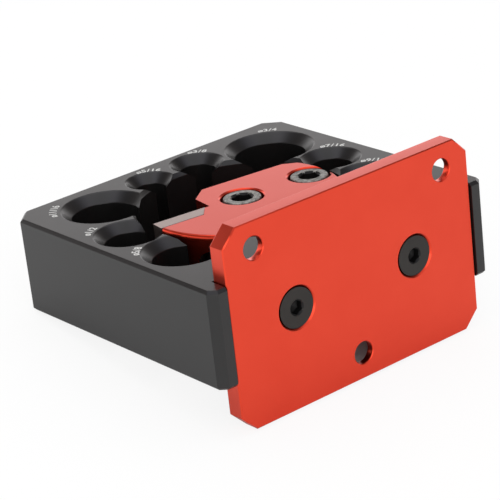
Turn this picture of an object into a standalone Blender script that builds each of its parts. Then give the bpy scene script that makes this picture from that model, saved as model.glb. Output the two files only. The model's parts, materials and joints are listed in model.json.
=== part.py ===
# Dowel maker jig: a guide block with a ring of flared bores, and a blade carrier that turns in its middle.
# Metres, +Z up along the bores. The mounting plate stands at the front and faces -Y, and z = 0 is its lower edge.

import bpy
import bmesh
from math import asin, cos, pi, radians, sin, sqrt
from mathutils import Matrix, Vector

# Guide block
BLOCK_WIDTH = 0.0884
BLOCK_DEPTH = 0.0823
BLOCK_HEIGHT = 0.0253
BLOCK_FRONT_CHAMFER = 0.0020
BLOCK_REAR_CHAMFER = 0.0043
BLOCK_EDGE_BEVEL = 0.0005
BLOCK_EAR = 0.0047

# Bores: the finished dowel's size in sixteenths of an inch, and where the bore stands about the pivot in degrees
SIXTEENTH = 0.0254 / 16
BORES = (
    (9, -29.0),
    (7, 3.8),
    (12, 38.6),
    (6, 73.1),
    (5, 102.8),
    (11, 136.2),
    (8, 172.4),
    (10, 206.4),
)
REST_BORE_DEGREES = 172.4
FIRST_BORE_DEGREES = min(place for size, place in BORES)
LAST_BORE_DEGREES = max(place for size, place in BORES)
BORE_TANGENT_RADIUS = 0.0266
BORE_EXIT_CHAMFER = 0.0004
FLARE_WIDTH = 0.00257
FLARE_DEPTH = 0.00235

# Round cavity that the carrier turns in; it cuts a little into every bore
PIVOT_BEHIND_CENTRE = 0.0012
CAVITY_BREAKTHROUGH = 0.0007
CAVITY_DEPTH = 0.0165
CAVITY_EDGE_CHAMFER = 0.0010

# Blade carrier: a turned disc with its back and one side milled away; u points from the pivot to the index screw
CARRIER_CLEARANCE = 0.0006
CARRIER_TOP_CHAMFER = 0.0007
CARRIER_BACK = 0.0120
CARRIER_SIDE = 0.0094
CARRIER_SIDE_CHAMFER = 0.0047
CARRIER_END_CHAMFER_RUN = 0.0045
CARRIER_END_CHAMFER_DROP = 0.0028

# Blade
BLADE_LENGTH = 0.0151
BLADE_THICKNESS = 0.0040
BLADE_HEIGHT = 0.0140
BLADE_FACE = 0.0007
BLADE_END_SLANT = 0.0028
BLADE_TIP_CLEARANCE = 0.0007

# Screw that clamps the blade from behind
CLAMP_DIAMETER = 0.0030
CLAMP_HEAD_DIAMETER = 0.0055
CLAMP_HEAD_HEIGHT = 0.0030
CLAMP_HEAD_CHAMFER = 0.0002
CLAMP_HEX = 0.0025
CLAMP_HEX_DEPTH = 0.0013
CLAMP_FROM_TIP = 0.0068
CLAMP_HEAD_RECESS = 0.0005
CLAMP_TIP_RECESS = 0.0005

# Pivot and index screws
CAP_DIAMETER = 0.0060
CAP_HEAD_DIAMETER = 0.0100
CAP_HEAD_HEIGHT = 0.0060
CAP_HEAD_CHAMFER = 0.0004
CAP_HEAD_RECESS = 0.00015
CAP_HEX = 0.0050
CAP_HEX_DEPTH = 0.0030
CAP_COUNTERBORE_GAP = 0.0006
CAP_COUNTERBORE_CHAMFER = 0.0004
CAP_TIP_RECESS = 0.0008
INDEX_HEAD_TO_RIM = 0.0005

# Curved slot in the cavity floor, and the nut that follows it underneath
SLOT_SHOULDER = 0.0035
NUT_WIDTH = 0.0080
NUT_LENGTH = 0.0100
NUT_RECESS = 0.0006

# Mounting plate
PLATE_HEIGHT = 0.0516
PLATE_THICKNESS = 0.0048
PLATE_CORNER = 0.0043
PLATE_EDGE_BEVEL = 0.0003
PLATE_FACE_RECESS = 0.0006
PLATE_HOLE_DIAMETER = 0.0058
PLATE_HOLE_CHAMFER = 0.0002
PLATE_HOLE_STRAIGHT = 0.0019
PLATE_HOLE_FROM_END = 0.0090
PLATE_HOLE_FROM_EDGE = 0.0067

# Countersunk plate screws
PLATE_SCREW_FROM_END = 0.01995
PLATE_SCREW_DIAMETER = 0.0050
PLATE_SCREW_HEAD_DIAMETER = 0.0103
PLATE_SCREW_HEAD_RIM = 0.0002
PLATE_SCREW_HEAD_RECESS = 0.0001
PLATE_SCREW_LENGTH = 0.0120
PLATE_SCREW_HEX = 0.0034
PLATE_SCREW_HEX_DEPTH = 0.0020

# Shared clearances
GAP = 0.0003
THREAD_END_CHAMFER = 0.0006
DRILL_RUNOUT = 0.0010
OVERCUT = 0.0010
SAME_PLACE = 0.000001

# Steps in a full turn
BORE_STEPS = 40
CAVITY_STEPS = 88
SCREW_STEPS = 28
SMOOTH_DEGREES = 30

# Places that follow from the sizes
BLOCK_BOTTOM = (PLATE_HEIGHT - BLOCK_HEIGHT) / 2
BLOCK_MIDDLE = PLATE_HEIGHT / 2
BLOCK_FRONT = -BLOCK_DEPTH / 2
CAVITY_RADIUS = BORE_TANGENT_RADIUS + CAVITY_BREAKTHROUGH
CAVITY_FLOOR = BLOCK_HEIGHT - CAVITY_DEPTH
CARRIER_RADIUS = BORE_TANGENT_RADIUS - CARRIER_CLEARANCE
CARRIER_HEIGHT = CAVITY_DEPTH - GAP
BLADE_BACK = BLADE_FACE - BLADE_THICKNESS
BLADE_TIP = -sqrt((BORE_TANGENT_RADIUS - BLADE_TIP_CLEARANCE) ** 2 - BLADE_BACK ** 2)
BLADE_END = BLADE_TIP + BLADE_LENGTH
BLADE_BOTTOM = CARRIER_HEIGHT - BLADE_HEIGHT
CLAMP_AXIS = BLADE_TIP + CLAMP_FROM_TIP
CLAMP_WALL = -sqrt(CARRIER_RADIUS ** 2 - (CLAMP_AXIS - CLAMP_HEAD_DIAMETER / 2) ** 2)
CLAMP_SEAT = CLAMP_WALL + CLAMP_HEAD_RECESS + CLAMP_HEAD_HEIGHT
CAP_SEAT = CARRIER_HEIGHT - CAP_HEAD_RECESS - CAP_HEAD_HEIGHT
CAP_LENGTH = CAP_SEAT + GAP + CAVITY_FLOOR - CAP_TIP_RECESS
INDEX_RADIUS = CARRIER_RADIUS - INDEX_HEAD_TO_RIM - CAP_HEAD_DIAMETER / 2
GROOVE_CEILING = CAVITY_FLOOR - SLOT_SHOULDER
NUT_THICKNESS = GROOVE_CEILING - GAP - NUT_RECESS
NUT_HALF_TURN = asin((NUT_LENGTH - NUT_WIDTH) / 2 / INDEX_RADIUS)
INDEX_FIRST = radians(FIRST_BORE_DEGREES - 180)
INDEX_LAST = radians(LAST_BORE_DEGREES - 180)
PLATE_WIDTH = BLOCK_WIDTH - 2 * (BLOCK_EAR + GAP)
PLATE_HOLE_X = PLATE_WIDTH / 2 - PLATE_HOLE_FROM_END
PLATE_SCREW_X = PLATE_WIDTH / 2 - PLATE_SCREW_FROM_END
PLATE_FRONT = BLOCK_FRONT + PLATE_FACE_RECESS
PLATE_BACK = PLATE_FRONT + PLATE_THICKNESS


def clear_scene():
    for obj in list(bpy.data.objects):
        bpy.data.objects.remove(obj, do_unlink=True)


def material(name, colour, roughness, metallic):
    result = bpy.data.materials.new(name)
    result.use_nodes = True
    shader = result.node_tree.nodes["Principled BSDF"]
    shader.inputs["Base Color"].default_value = (*colour, 1.0)
    shader.inputs["Roughness"].default_value = roughness
    shader.inputs["Metallic"].default_value = metallic
    result.diffuse_color = (*colour, 1.0)
    return result


def arc(radius, start, end, steps, centre=(0.0, 0.0)):
    """Points along an arc, both ends included."""
    turns = [start + (end - start) * step / steps for step in range(steps + 1)]
    return [(centre[0] + radius * cos(turn), centre[1] + radius * sin(turn)) for turn in turns]


def arc_slot(radius, width, start, end):
    """Outline of a slot that follows an arc and has round ends."""
    long_steps = max(2, round(CAVITY_STEPS * (end - start) / (2 * pi)))
    end_steps = SCREW_STEPS // 2
    first = (radius * cos(start), radius * sin(start))
    last = (radius * cos(end), radius * sin(end))
    outer = arc(radius + width / 2, start, end, long_steps)
    far_end = arc(width / 2, end, end + pi, end_steps, last)
    inner = arc(radius - width / 2, end, start, long_steps)
    near_end = arc(width / 2, start + pi, start + 2 * pi, end_steps, first)
    return outer + far_end[1:-1] + inner + near_end[1:-1]


def prism(outline, bottom, top):
    """A closed outline in X and Y, drawn counter-clockwise, made solid from bottom to top."""
    bm = bmesh.new()
    base = bm.faces.new([bm.verts.new((x, y, bottom)) for x, y in outline])
    walls = bmesh.ops.extrude_face_region(bm, geom=[base])
    lid = [item for item in walls["geom"] if isinstance(item, bmesh.types.BMVert)]
    bmesh.ops.translate(bm, verts=lid, vec=(0, 0, top - bottom))
    bmesh.ops.recalc_face_normals(bm, faces=bm.faces)
    return bm


def turned(profile, steps):
    """A profile of radius and height that starts and ends on the Z axis, turned once around it."""
    bm = bmesh.new()
    points = [bm.verts.new((radius, 0, height)) for radius, height in profile]
    edges = [bm.edges.new(pair) for pair in zip(points, points[1:])]
    bmesh.ops.spin(bm, geom=points + edges, cent=(0, 0, 0), axis=(0, 0, 1), angle=2 * pi, steps=steps)
    bmesh.ops.remove_doubles(bm, verts=bm.verts, dist=SAME_PLACE)
    bmesh.ops.recalc_face_normals(bm, faces=bm.faces)
    return bm


def is_level(edge):
    first, second = edge.verts
    return abs(first.co.z - second.co.z) < SAME_PLACE


def bevel_edges(bm, edges, width):
    bmesh.ops.bevel(bm, geom=edges, offset=width, segments=1, profile=0.5, affect="EDGES")
    return bm


def hexagon(across_flats, bottom, top):
    corner_radius = across_flats / sqrt(3)
    return prism(arc(corner_radius, 0, 2 * pi, 6)[:-1], bottom, top)


def moved(bm, matrix):
    bmesh.ops.transform(bm, matrix=matrix, verts=bm.verts)
    return bm


def at(x, y, z=0.0):
    return Matrix.Translation((x, y, z))


def temporary_object(bm):
    mesh = bpy.data.meshes.new("temporary")
    bm.to_mesh(mesh)
    bm.free()
    obj = bpy.data.objects.new("temporary", mesh)
    bpy.context.collection.objects.link(obj)
    return obj


def carve(body, cutters):
    """The body's mesh with every cutter taken out of it, smooth on its round faces."""
    base = temporary_object(body)
    tools = [temporary_object(cutter) for cutter in cutters]
    for tool in tools:
        cut = base.modifiers.new("cut", "BOOLEAN")
        cut.operation = "DIFFERENCE"
        cut.solver = "EXACT"
        cut.object = tool
    depsgraph = bpy.context.evaluated_depsgraph_get()
    mesh = bpy.data.meshes.new_from_object(base.evaluated_get(depsgraph))
    for obj in [base] + tools:
        bpy.data.objects.remove(obj, do_unlink=True)
    mesh.materials.clear()
    mesh.shade_smooth()
    mesh.set_sharp_from_angle(angle=radians(SMOOTH_DEGREES))
    return mesh


def add_part(name, mesh, finish, location=(0, 0, 0), rotation=(0, 0, 0), parent=None):
    mesh.name = name
    mesh.materials.append(finish)
    obj = bpy.data.objects.new(name, mesh)
    bpy.context.collection.objects.link(obj)
    obj.parent = parent
    obj.location = location
    obj.rotation_euler = rotation
    return obj


def block_outline():
    """Plan of the block: chamfered corners, and a wide notch in front that the plate stands in."""
    side = BLOCK_WIDTH / 2
    back = BLOCK_DEPTH / 2
    ear = side - BLOCK_EAR
    notch = PLATE_BACK + GAP
    return [
        (side - BLOCK_FRONT_CHAMFER, BLOCK_FRONT),
        (side, BLOCK_FRONT + BLOCK_FRONT_CHAMFER),
        (side, back - BLOCK_REAR_CHAMFER),
        (side - BLOCK_REAR_CHAMFER, back),
        (-side + BLOCK_REAR_CHAMFER, back),
        (-side, back - BLOCK_REAR_CHAMFER),
        (-side, BLOCK_FRONT + BLOCK_FRONT_CHAMFER),
        (-side + BLOCK_FRONT_CHAMFER, BLOCK_FRONT),
        (-ear, BLOCK_FRONT),
        (-ear, notch),
        (ear, notch),
        (ear, BLOCK_FRONT),
    ]


def is_in_notch(edge):
    notch_side = BLOCK_WIDTH / 2 - BLOCK_EAR + SAME_PLACE
    return all(abs(vert.co.x) < notch_side and vert.co.y < 0 for vert in edge.verts)


def block_body():
    bm = prism(block_outline(), 0, BLOCK_HEIGHT)
    rim = [edge for edge in bm.edges if is_level(edge) and not is_in_notch(edge)]
    return bevel_edges(bm, rim, BLOCK_EDGE_BEVEL)


def bore_cutter(diameter):
    """A bore with a wide flare on top, that the square stock enters, and a small chamfer where the dowel leaves."""
    radius = diameter / 2
    flare_slope = FLARE_WIDTH / FLARE_DEPTH
    return turned([
        (0, -OVERCUT),
        (radius + BORE_EXIT_CHAMFER + OVERCUT, -OVERCUT),
        (radius, BORE_EXIT_CHAMFER),
        (radius, BLOCK_HEIGHT - FLARE_DEPTH),
        (radius + FLARE_WIDTH + OVERCUT * flare_slope, BLOCK_HEIGHT + OVERCUT),
        (0, BLOCK_HEIGHT + OVERCUT),
    ], BORE_STEPS)


def bore_place(sixteenths, degrees_about):
    """Centre of a bore about the pivot: every bore touches the same circle from outside."""
    reach = BORE_TANGENT_RADIUS + sixteenths * SIXTEENTH / 2
    return reach * cos(radians(degrees_about)), PIVOT_BEHIND_CENTRE + reach * sin(radians(degrees_about))


def cavity_cutter():
    return turned([
        (0, CAVITY_FLOOR),
        (CAVITY_RADIUS, CAVITY_FLOOR),
        (CAVITY_RADIUS, BLOCK_HEIGHT - CAVITY_EDGE_CHAMFER),
        (CAVITY_RADIUS + CAVITY_EDGE_CHAMFER + OVERCUT, BLOCK_HEIGHT + OVERCUT),
        (0, BLOCK_HEIGHT + OVERCUT),
    ], CAVITY_STEPS)


def guide_block(finish):
    on_pivot = at(0, PIVOT_BEHIND_CENTRE)
    cutters = [moved(cavity_cutter(), on_pivot)]
    for sixteenths, degrees_about in BORES:
        cutters.append(moved(bore_cutter(sixteenths * SIXTEENTH), at(*bore_place(sixteenths, degrees_about))))

    slot = arc_slot(INDEX_RADIUS, CAP_DIAMETER + 2 * GAP, INDEX_FIRST, INDEX_LAST)
    groove = arc_slot(INDEX_RADIUS, NUT_WIDTH + 2 * GAP, INDEX_FIRST - NUT_HALF_TURN, INDEX_LAST + NUT_HALF_TURN)
    cutters.append(moved(prism(slot, GROOVE_CEILING - OVERCUT, CAVITY_FLOOR + OVERCUT), on_pivot))
    cutters.append(moved(prism(groove, -OVERCUT, GROOVE_CEILING), on_pivot))

    pivot_hole = CAP_DIAMETER / 2 + GAP
    cutters.append(moved(turned([
        (0, -OVERCUT),
        (pivot_hole, -OVERCUT),
        (pivot_hole, CAVITY_FLOOR + OVERCUT),
        (0, CAVITY_FLOOR + OVERCUT),
    ], SCREW_STEPS), on_pivot))

    screw_hole = PLATE_SCREW_DIAMETER / 2 + GAP
    hole_mouth = PLATE_BACK + GAP - OVERCUT
    hole_end = PLATE_FRONT + PLATE_SCREW_HEAD_RECESS + PLATE_SCREW_LENGTH + DRILL_RUNOUT
    for side in (-1, 1):
        drill = turned([
            (0, 0),
            (screw_hole, 0),
            (screw_hole, hole_end - hole_mouth),
            (0, hole_end - hole_mouth + screw_hole / 2),
        ], SCREW_STEPS)
        place = at(side * PLATE_SCREW_X, hole_mouth, BLOCK_HEIGHT / 2)
        cutters.append(moved(drill, place @ Matrix.Rotation(radians(-90), 4, "X")))

    add_part("guide_block", carve(block_body(), cutters), finish, location=(0, 0, BLOCK_BOTTOM))


def plate_body():
    """The plate lying flat: its front face up, local Y running down the plate."""
    side = PLATE_WIDTH / 2
    end = PLATE_HEIGHT / 2
    outline = [
        (side - PLATE_CORNER, -end),
        (side, -end + PLATE_CORNER),
        (side, end - PLATE_CORNER),
        (side - PLATE_CORNER, end),
        (-side + PLATE_CORNER, end),
        (-side, end - PLATE_CORNER),
        (-side, -end + PLATE_CORNER),
        (-side + PLATE_CORNER, -end),
    ]
    bm = prism(outline, -PLATE_THICKNESS, 0)
    return bevel_edges(bm, [edge for edge in bm.edges if is_level(edge)], PLATE_EDGE_BEVEL)


def plate_hole_cutter():
    """A short straight hole with a small chamfer in front, countersunk at 90 degrees from behind."""
    radius = PLATE_HOLE_DIAMETER / 2
    cone_depth = PLATE_THICKNESS + OVERCUT - PLATE_HOLE_STRAIGHT
    return turned([
        (0, -PLATE_THICKNESS - OVERCUT),
        (radius + cone_depth, -PLATE_THICKNESS - OVERCUT),
        (radius, -PLATE_HOLE_STRAIGHT),
        (radius, -PLATE_HOLE_CHAMFER),
        (radius + PLATE_HOLE_CHAMFER + OVERCUT, OVERCUT),
        (0, OVERCUT),
    ], SCREW_STEPS)


def mounting_plate(finish):
    hole_row = PLATE_HEIGHT / 2 - PLATE_HOLE_FROM_EDGE
    cutters = []
    for x, y in ((-PLATE_HOLE_X, hole_row), (PLATE_HOLE_X, hole_row), (0, -hole_row)):
        cutters.append(moved(plate_hole_cutter(), at(x, y)))

    shank_hole = PLATE_SCREW_DIAMETER / 2 + GAP
    seat_radius = PLATE_SCREW_HEAD_DIAMETER / 2 + GAP
    seat_depth = PLATE_SCREW_HEAD_RECESS + PLATE_SCREW_HEAD_RIM
    cone_depth = seat_radius - shank_hole
    for side in (-1, 1):
        countersink = turned([
            (0, -PLATE_THICKNESS - OVERCUT),
            (shank_hole, -PLATE_THICKNESS - OVERCUT),
            (shank_hole, -seat_depth - cone_depth),
            (seat_radius, -seat_depth),
            (seat_radius + seat_depth + OVERCUT, OVERCUT),
            (0, OVERCUT),
        ], SCREW_STEPS)
        cutters.append(moved(countersink, at(side * PLATE_SCREW_X, 0)))

    add_part("mounting_plate", carve(plate_body(), cutters), finish,
             location=(0, PLATE_FRONT, BLOCK_MIDDLE), rotation=(radians(90), 0, 0))


def plate_screw_mesh():
    """A countersunk hex socket screw: head face at z = 0, the shank running down."""
    head = PLATE_SCREW_HEAD_DIAMETER / 2
    shank = PLATE_SCREW_DIAMETER / 2
    cone_end = -PLATE_SCREW_HEAD_RIM - (head - shank)
    body = turned([
        (0, -PLATE_SCREW_LENGTH),
        (shank - THREAD_END_CHAMFER, -PLATE_SCREW_LENGTH),
        (shank, -PLATE_SCREW_LENGTH + THREAD_END_CHAMFER),
        (shank, cone_end),
        (head, -PLATE_SCREW_HEAD_RIM),
        (head, 0),
        (0, 0),
    ], SCREW_STEPS)
    return carve(body, [hexagon(PLATE_SCREW_HEX, -PLATE_SCREW_HEX_DEPTH, OVERCUT)])


def plate_screws(finish):
    for name, side in (("plate_screw_left", -1), ("plate_screw_right", 1)):
        place = (side * PLATE_SCREW_X, PLATE_FRONT + PLATE_SCREW_HEAD_RECESS, BLOCK_MIDDLE)
        add_part(name, plate_screw_mesh(), finish, location=place, rotation=(radians(90), 0, 0))


def socket_screw_mesh(diameter, length, head_diameter, head_height, head_chamfer, hex_size, hex_depth):
    """A cylinder head hex socket screw: the head's seat at z = 0, the shank running down."""
    head = head_diameter / 2
    shank = diameter / 2
    tip_chamfer = THREAD_END_CHAMFER * diameter / CAP_DIAMETER
    body = turned([
        (0, -length),
        (shank - tip_chamfer, -length),
        (shank, -length + tip_chamfer),
        (shank, 0),
        (head, 0),
        (head, head_height - head_chamfer),
        (head - head_chamfer, head_height),
        (0, head_height),
    ], SCREW_STEPS)
    return carve(body, [hexagon(hex_size, head_height - hex_depth, head_height + OVERCUT)])


def cap_screw_mesh():
    return socket_screw_mesh(CAP_DIAMETER, CAP_LENGTH, CAP_HEAD_DIAMETER, CAP_HEAD_HEIGHT, CAP_HEAD_CHAMFER,
                             CAP_HEX, CAP_HEX_DEPTH)


def cap_counterbore():
    """A through hole for the shank, and a wider one above it for the head, chamfered at its mouth."""
    hole = CAP_DIAMETER / 2 + GAP
    pocket = CAP_HEAD_DIAMETER / 2 + CAP_COUNTERBORE_GAP
    return turned([
        (0, -OVERCUT),
        (hole, -OVERCUT),
        (hole, CAP_SEAT - GAP),
        (pocket, CAP_SEAT - GAP),
        (pocket, CARRIER_HEIGHT - CAP_COUNTERBORE_CHAMFER),
        (pocket + CAP_COUNTERBORE_CHAMFER + OVERCUT, CARRIER_HEIGHT + OVERCUT),
        (0, CARRIER_HEIGHT + OVERCUT),
    ], SCREW_STEPS)


def milled_away():
    """Plan of what the mill takes off the disc: its back, one side, and the space in front of the blade."""
    outside = CARRIER_RADIUS + 2 * OVERCUT
    ledge = BLADE_FACE - GAP
    end_drop = CARRIER_BACK - CARRIER_END_CHAMFER_DROP
    end_reach = sqrt(CARRIER_RADIUS ** 2 - end_drop ** 2)
    return [
        (-outside, ledge),
        (-CARRIER_SIDE, ledge),
        (-CARRIER_SIDE, CARRIER_BACK - CARRIER_SIDE_CHAMFER),
        (-CARRIER_SIDE + CARRIER_SIDE_CHAMFER, CARRIER_BACK),
        (end_reach - CARRIER_END_CHAMFER_RUN, CARRIER_BACK),
        (end_reach + CARRIER_END_CHAMFER_RUN, end_drop - CARRIER_END_CHAMFER_DROP),
        (end_reach + CARRIER_END_CHAMFER_RUN, outside),
        (-outside, outside),
    ][::-1]


def blade_pocket():
    """Plan of the pocket behind the blade, open at the blade's tip and along its cutting face."""
    outside = CARRIER_RADIUS + 2 * OVERCUT
    back = BLADE_BACK - GAP
    front = BLADE_FACE + OVERCUT
    slant = BLADE_END_SLANT / BLADE_THICKNESS
    end = BLADE_END + GAP
    return [
        (-outside, back),
        (end - slant * (BLADE_FACE - back), back),
        (end + slant * (front - BLADE_FACE), front),
        (-outside, front),
    ]


def clamp_cutter():
    """Counterbore and hole of the clamp screw, its seat at z = 0 and its mouth up."""
    hole = CLAMP_DIAMETER / 2 + GAP
    pocket = CLAMP_HEAD_DIAMETER / 2 + GAP
    inner_end = CLAMP_SEAT - BLADE_BACK - OVERCUT
    outer_end = CARRIER_RADIUS + CLAMP_SEAT + OVERCUT
    return turned([
        (0, inner_end),
        (hole, inner_end),
        (hole, -GAP),
        (pocket, -GAP),
        (pocket, outer_end),
        (0, outer_end),
    ], SCREW_STEPS)


def blade_carrier(finish, axis):
    disc = turned([
        (0, 0),
        (CARRIER_RADIUS, 0),
        (CARRIER_RADIUS, CARRIER_HEIGHT - CARRIER_TOP_CHAMFER),
        (CARRIER_RADIUS - CARRIER_TOP_CHAMFER, CARRIER_HEIGHT),
        (0, CARRIER_HEIGHT),
    ], CAVITY_STEPS)
    clamp_place = at(CLAMP_AXIS, CLAMP_SEAT, BLADE_BOTTOM + BLADE_HEIGHT / 2)
    cutters = [
        prism(milled_away(), -OVERCUT, CARRIER_HEIGHT + OVERCUT),
        prism(blade_pocket(), BLADE_BOTTOM - GAP, CARRIER_HEIGHT + OVERCUT),
        cap_counterbore(),
        moved(cap_counterbore(), at(INDEX_RADIUS, 0)),
        moved(clamp_cutter(), clamp_place @ Matrix.Rotation(radians(90), 4, "X")),
    ]
    add_part("blade_carrier", carve(disc, cutters), finish, parent=axis)


def cutter_blade(finish, axis):
    body = prism([
        (0, 0),
        (BLADE_LENGTH - BLADE_END_SLANT, 0),
        (BLADE_LENGTH, BLADE_THICKNESS),
        (0, BLADE_THICKNESS),
    ], 0, BLADE_HEIGHT)
    hole = CLAMP_DIAMETER / 2 + GAP
    drill = turned([
        (0, -OVERCUT),
        (hole, -OVERCUT),
        (hole, BLADE_THICKNESS + OVERCUT),
        (0, BLADE_THICKNESS + OVERCUT),
    ], SCREW_STEPS)
    place = at(CLAMP_FROM_TIP, BLADE_THICKNESS, BLADE_HEIGHT / 2) @ Matrix.Rotation(radians(90), 4, "X")
    add_part("cutter_blade", carve(body, [moved(drill, place)]), finish,
             location=(BLADE_TIP, BLADE_BACK, BLADE_BOTTOM), parent=axis)


def blade_clamp_screw(finish, axis):
    length = BLADE_FACE - CLAMP_TIP_RECESS - CLAMP_SEAT
    mesh = socket_screw_mesh(CLAMP_DIAMETER, length, CLAMP_HEAD_DIAMETER, CLAMP_HEAD_HEIGHT, CLAMP_HEAD_CHAMFER,
                             CLAMP_HEX, CLAMP_HEX_DEPTH)
    place = (CLAMP_AXIS, CLAMP_SEAT, BLADE_BOTTOM + BLADE_HEIGHT / 2)
    add_part("blade_clamp_screw", mesh, finish, location=place, rotation=(radians(90), 0, 0), parent=axis)


def slot_nut(finish, axis):
    """The nut under the cavity floor: a short curved bar that slides in the groove."""
    outline = arc_slot(INDEX_RADIUS, NUT_WIDTH, -NUT_HALF_TURN, NUT_HALF_TURN)
    hole = CAP_DIAMETER / 2 + GAP
    drill = turned([
        (0, -OVERCUT),
        (hole, -OVERCUT),
        (hole, NUT_THICKNESS + OVERCUT),
        (0, NUT_THICKNESS + OVERCUT),
    ], SCREW_STEPS)
    mesh = carve(prism(outline, 0, NUT_THICKNESS), [moved(drill, at(INDEX_RADIUS, 0))])
    add_part("slot_nut", mesh, finish, location=(0, 0, NUT_RECESS - CAVITY_FLOOR - GAP), parent=axis)


def carrier_axis():
    """The carrier's turning axis, set so that the blade points at the bore it rests at."""
    axis = bpy.data.objects.new("carrier_axis", None)
    bpy.context.collection.objects.link(axis)
    axis.empty_display_size = CARRIER_RADIUS
    axis.location = (0, PIVOT_BEHIND_CENTRE, BLOCK_BOTTOM + CAVITY_FLOOR + GAP)
    axis.rotation_euler = (0, 0, radians(REST_BORE_DEGREES - 180))
    return axis


def main():
    clear_scene()
    black = material("black_anodised_aluminium", (0.052, 0.050, 0.050), 0.45, 0.6)
    red = material("red_anodised_aluminium", (0.72, 0.045, 0.020), 0.40, 0.6)
    dark_steel = material("black_oxide_steel", (0.045, 0.045, 0.043), 0.50, 0.8)
    grey_steel = material("phosphated_steel", (0.25, 0.25, 0.235), 0.42, 0.9)
    blade_steel = material("ground_tool_steel", (0.47, 0.42, 0.37), 0.32, 1.0)

    guide_block(black)
    mounting_plate(red)
    plate_screws(dark_steel)

    axis = carrier_axis()
    add_part("pivot_screw", cap_screw_mesh(), grey_steel, location=axis.location + Vector((0, 0, CAP_SEAT)))
    add_part("index_screw", cap_screw_mesh(), grey_steel, location=(INDEX_RADIUS, 0, CAP_SEAT), parent=axis)
    blade_carrier(red, axis)
    cutter_blade(blade_steel, axis)
    blade_clamp_screw(dark_steel, axis)
    slot_nut(dark_steel, axis)


main()
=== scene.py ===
import bpy
import bmesh
import json
from fractions import Fraction
from math import atan2, cos, pi, radians, sin, sqrt
from mathutils import Matrix, Vector


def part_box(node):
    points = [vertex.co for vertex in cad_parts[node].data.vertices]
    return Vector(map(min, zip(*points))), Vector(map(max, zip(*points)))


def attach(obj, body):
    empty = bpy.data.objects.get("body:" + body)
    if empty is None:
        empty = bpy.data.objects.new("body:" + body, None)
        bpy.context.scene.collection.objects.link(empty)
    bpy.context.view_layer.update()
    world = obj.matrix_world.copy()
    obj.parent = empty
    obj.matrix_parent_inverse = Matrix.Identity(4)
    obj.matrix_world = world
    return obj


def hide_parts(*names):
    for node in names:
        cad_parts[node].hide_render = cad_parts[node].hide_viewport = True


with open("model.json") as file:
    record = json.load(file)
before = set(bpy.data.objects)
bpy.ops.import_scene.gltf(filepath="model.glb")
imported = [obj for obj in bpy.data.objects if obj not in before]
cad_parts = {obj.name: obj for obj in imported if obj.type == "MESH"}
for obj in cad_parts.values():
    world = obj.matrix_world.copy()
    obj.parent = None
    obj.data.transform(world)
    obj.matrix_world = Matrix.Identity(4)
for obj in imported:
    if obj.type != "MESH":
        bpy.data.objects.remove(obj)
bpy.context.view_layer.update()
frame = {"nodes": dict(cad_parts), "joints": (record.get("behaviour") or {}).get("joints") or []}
print("the frame is in:", len(frame["nodes"]), "CAD nodes")

mm = 0.001
tiny = 0.001 * mm  # points nearer than this are one point
flatWithin = 0.5  # degrees: faces that turn less than this are one face
inch = 25.4 * mm

blockLow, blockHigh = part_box("guide_block")
plateLow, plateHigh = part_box("mounting_plate")
carrierLow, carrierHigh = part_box("blade_carrier")
pivot = Vector(frame["joints"][0]["pos_m"])
pivot.z = 0.0


# Drawing helpers: outlines in plan, prisms, turned shapes

def arcPoints(radius, start, end, steps, centre=(0.0, 0.0)):
    turns = [start + (end - start) * step / steps for step in range(steps + 1)]
    return [(centre[0] + radius * cos(turn), centre[1] + radius * sin(turn)) for turn in turns]


def slotOutline(radius, width, start, end, steps):
    # a slot along an arc about the origin, with round ends
    first = (radius * cos(start), radius * sin(start))
    last = (radius * cos(end), radius * sin(end))
    endSteps = 16
    return (arcPoints(radius + width / 2, start, end, steps)
            + arcPoints(width / 2, end, end + pi, endSteps, last)[1:-1]
            + arcPoints(radius - width / 2, end, start, steps)
            + arcPoints(width / 2, start + pi, start + 2 * pi, endSteps, first)[1:-1])


def prism(outline, low, high):
    bm = bmesh.new()
    base = bm.faces.new([bm.verts.new((x, y, low)) for x, y in outline])
    walls = bmesh.ops.extrude_face_region(bm, geom=[base])
    lid = [item for item in walls["geom"] if isinstance(item, bmesh.types.BMVert)]
    bmesh.ops.translate(bm, verts=lid, vec=(0, 0, high - low))
    bmesh.ops.recalc_face_normals(bm, faces=bm.faces)
    return bm


def turned(profile, steps):
    # radius and height pairs, bottom to top, turned about Z; the ends are flat discs
    bm = bmesh.new()
    rings = []
    for radius, height in profile:
        circle = arcPoints(radius, 0, 2 * pi, steps)[:-1]
        rings.append([bm.verts.new((x, y, height)) for x, y in circle])
    for low, high in zip(rings, rings[1:]):
        for i in range(steps):
            j = (i + 1) % steps
            bm.faces.new((low[i], low[j], high[j], high[i]))
    bm.faces.new(list(reversed(rings[0])))
    bm.faces.new(rings[-1])
    return bm


def moved(bm, matrix):
    bmesh.ops.transform(bm, matrix=matrix, verts=bm.verts)
    return bm


def at(x, y, z=0.0):
    return Matrix.Translation((x, y, z))


def addObject(name, bm):
    mesh = bpy.data.meshes.new(name)
    bm.to_mesh(mesh)
    bm.free()
    obj = bpy.data.objects.new(name, mesh)
    bpy.context.scene.collection.objects.link(obj)
    return obj


def takeResult(obj):
    # the evaluated mesh becomes the object's own, and its modifiers go
    depsgraph = bpy.context.evaluated_depsgraph_get()
    result = bpy.data.meshes.new_from_object(obj.evaluated_get(depsgraph))
    obj.modifiers.clear()
    obj.data = result
    return obj


def cutOut(body, cutters):
    tools = [addObject("cutter", cutter) for cutter in cutters]
    for tool in tools:
        cut = body.modifiers.new("cut", "BOOLEAN")
        cut.operation = "DIFFERENCE"
        cut.solver = "EXACT"
        cut.object = tool
    takeResult(body)
    for tool in tools:
        bpy.data.objects.remove(tool)
    return body


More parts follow.
